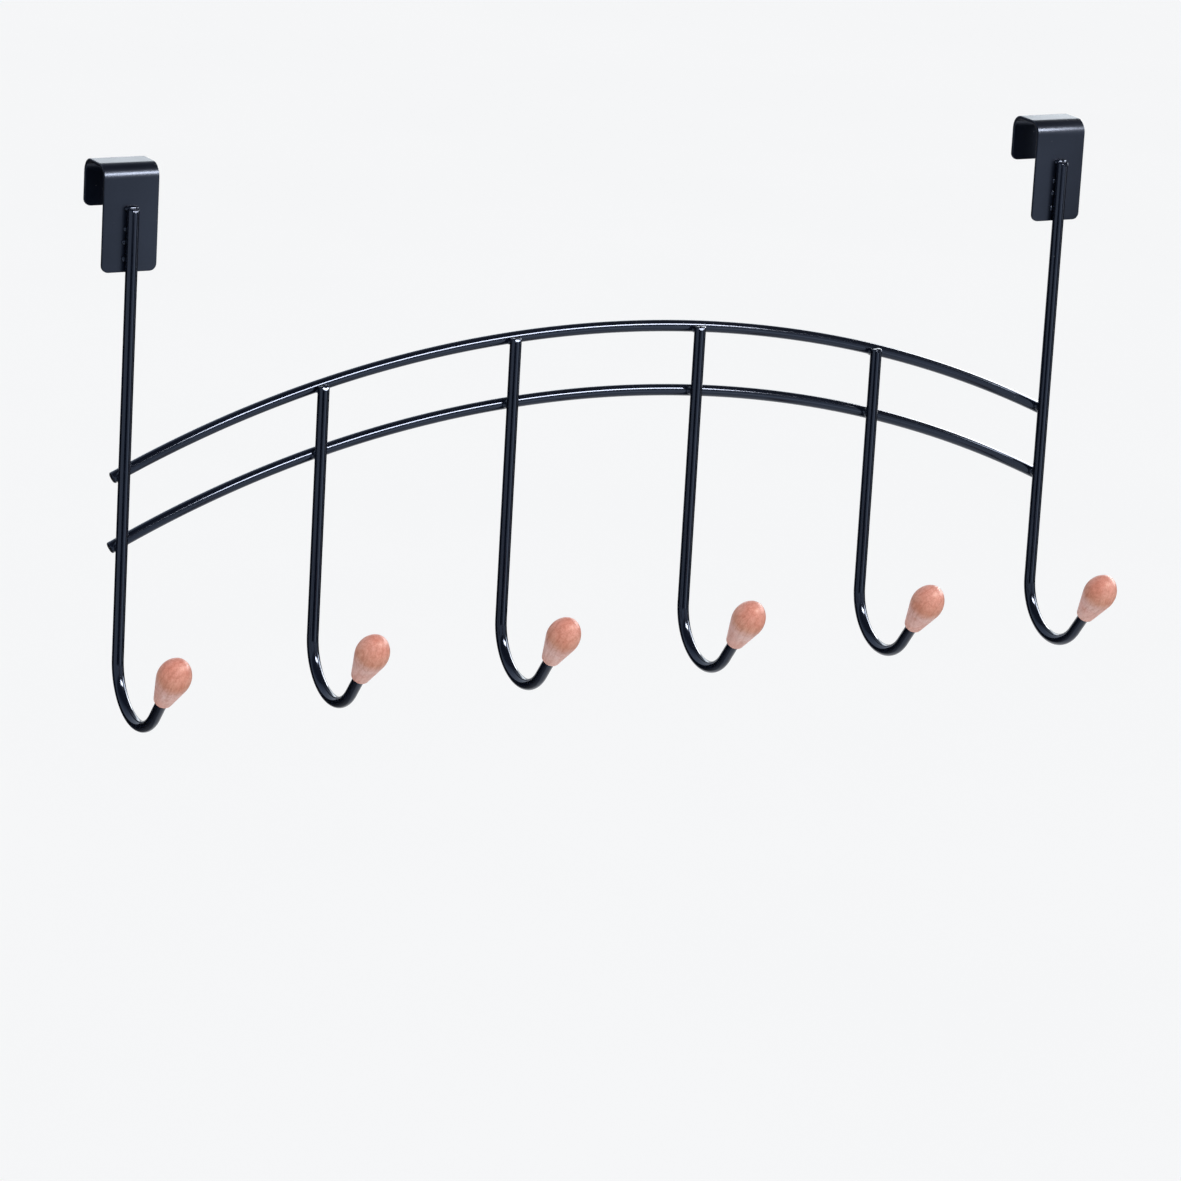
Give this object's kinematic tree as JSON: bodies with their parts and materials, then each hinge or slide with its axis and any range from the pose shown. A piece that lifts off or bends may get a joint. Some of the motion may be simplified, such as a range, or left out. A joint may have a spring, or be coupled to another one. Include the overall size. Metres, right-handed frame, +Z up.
{
  "type": "over door hook rack",
  "caption": "Wire hook rack that hangs over a door on folded strip brackets, with arched rails and J-shaped hooks tipped with turned wooden knobs.",
  "frame": {"origin": "on the door's top edge, halfway between the brackets and midway between the backs of the rails and the faces of the brackets' lips", "axes": "+X along the door to the right as seen from its front, +Y through the door from front to back, +Z up"},
  "size_m": [0.464, 0.0886, 0.23],
  "materials": {
    "strip_paint": "gloss black paint on folded steel strip",
    "wire_paint": "gloss black paint on round steel wire",
    "wood": "turned pale wood, satin lacquer"
  },
  "bodies": {
    "root": {"left_bracket": "strip_paint", "right_bracket": "strip_paint", "upper_rail": "wire_paint", "lower_rail": "wire_paint", "hook_wire_1": "wire_paint", "hook_wire_2": "wire_paint", "hook_wire_3": "wire_paint", "hook_wire_4": "wire_paint", "hook_wire_5": "wire_paint", "hook_wire_6": "wire_paint", "knob_1": "wood", "knob_2": "wood", "knob_3": "wood", "knob_4": "wood", "knob_5": "wood", "knob_6": "wood"}
  },
  "joints": []
}
